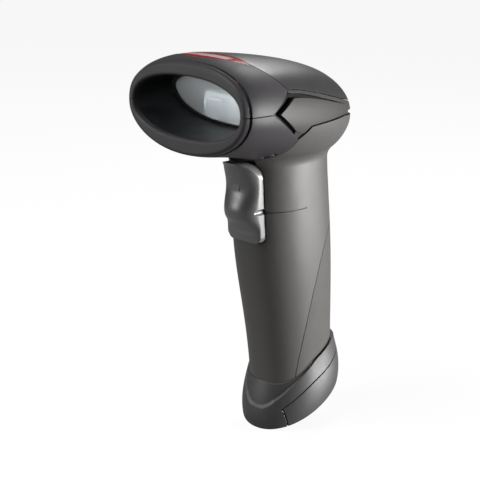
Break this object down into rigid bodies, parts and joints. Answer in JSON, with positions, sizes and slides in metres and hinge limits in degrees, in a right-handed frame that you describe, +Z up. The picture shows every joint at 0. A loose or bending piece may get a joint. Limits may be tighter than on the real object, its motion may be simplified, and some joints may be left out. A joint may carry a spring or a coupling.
{
  "type": "handheld barcode scanner",
  "caption": "Pistol-grip barcode reader: wide oval nose with a deep window tunnel, upright handle, pressable trigger, slanted foot with a cable socket.",
  "frame": {"origin": "centre of the bounding box's underside, on the plane of the foot's lowest point", "axes": "+Z up the handle, -Y out of the nose, +X to the left of a person who holds it and looks out along the nose"},
  "size_m": [0.0734, 0.0976, 0.1798],
  "materials": {
    "cowl_plastic": "dark purple-grey, fine texture",
    "cover_plastic": "silver-grey, satin to gloss",
    "grip_plastic": "grey, fine texture",
    "insert_rubber": "soft-touch overmould",
    "boot_plastic": "dark grey, matt",
    "trigger_plastic": "mid grey, satin",
    "trim_black": "black, matt",
    "liner_black": "black, matt",
    "window_clear": "clear, slightly grey",
    "gasket_rubber": "black rubber",
    "badge_red": "red, blank",
    "smoked_lens": "smoked, dark",
    "steel": "plain steel",
    "board_green": "solder-masked board",
    "chip_black": "moulded package",
    "connector_white": "natural nylon",
    "frame_grey": "light grey moulding",
    "mirror_face": "front-silvered",
    "copper_coil": "enamelled copper",
    "brass_barrel": "turned brass",
    "lens_glass": "clear lens",
    "filter_glass": "coated filter",
    "flex_tan": "polyimide lead",
    "contact_gold": "gold-plated",
    "wire_grey": "insulated wires"
  },
  "bodies": {
    "housing": {"upper_cowl": "cowl_plastic", "lower_cowl": "cowl_plastic", "top_cover": "cover_plastic", "side_panel_right": "grip_plastic", "side_panel_left": "grip_plastic", "side_trim_right": "trim_black", "side_trim_left": "trim_black", "grip_housing": "grip_plastic", "grip_back_cover": "insert_rubber", "boot": "boot_plastic", "foot_cap": "boot_plastic", "tunnel_liner": "liner_black", "window": "window_clear", "window_gasket": "gasket_rubber", "badge": "badge_red", "status_lens": "smoked_lens", "trigger_pin": "steel", "trigger_spring": "steel", "switch_body": "chip_black", "main_board": "board_green", "decoder_chip": "chip_black", "memory_chip": "chip_black", "cable_header": "connector_white", "buzzer": "chip_black", "board_screws": "steel", "engine_screws": "steel", "foot_screws": "steel", "engine_frame": "frame_grey", "isolator_grommets": "gasket_rubber", "engine_board": "board_green", "engine_chip": "chip_black", "mirror_shaft": "steel", "drive_coil": "copper_coil", "laser_module": "brass_barrel", "laser_lens": "lens_glass", "laser_cradle": "frame_grey", "detector_bezel": "frame_grey", "optical_filter": "filter_glass", "photodetector": "chip_black", "flex_lead": "flex_tan", "flex_connectors": "connector_white", "cable_socket": "trim_black", "socket_contacts": "contact_gold", "socket_harness": "wire_grey"},
    "trigger": {"trigger": "trigger_plastic"},
    "plunger": {"switch_plunger": "connector_white"},
    "mirror": {"scan_mirror": "mirror_face"}
  },
  "joints": [
    {"name": "trigger_pivot", "type": "hinge", "parent": "housing", "child": "trigger", "pos_m": [0, -0.007, 0.1305], "axis": [1, 0, 0], "range_deg": [0, 6], "stiffness_Nm_per_rad": 0.25, "springref_deg": -6.88, "deforming": ["trigger_spring"]},
    {"name": "plunger_slide", "type": "slide", "parent": "housing", "child": "plunger", "axis": [0, 1, 0], "range_m": [0, 0.00112]},
    {"name": "mirror_swing", "type": "hinge", "parent": "housing", "child": "mirror", "pos_m": [0.011, -0.002, 0.154], "axis": [0, 0, 1], "range_deg": [-8, 8], "stiffness_Nm_per_rad": 0.0005}
  ],
  "couplings": [
    {"joint": "plunger_slide", "follows": "trigger_pivot", "m_per_rad": 0.0105}
  ]
}
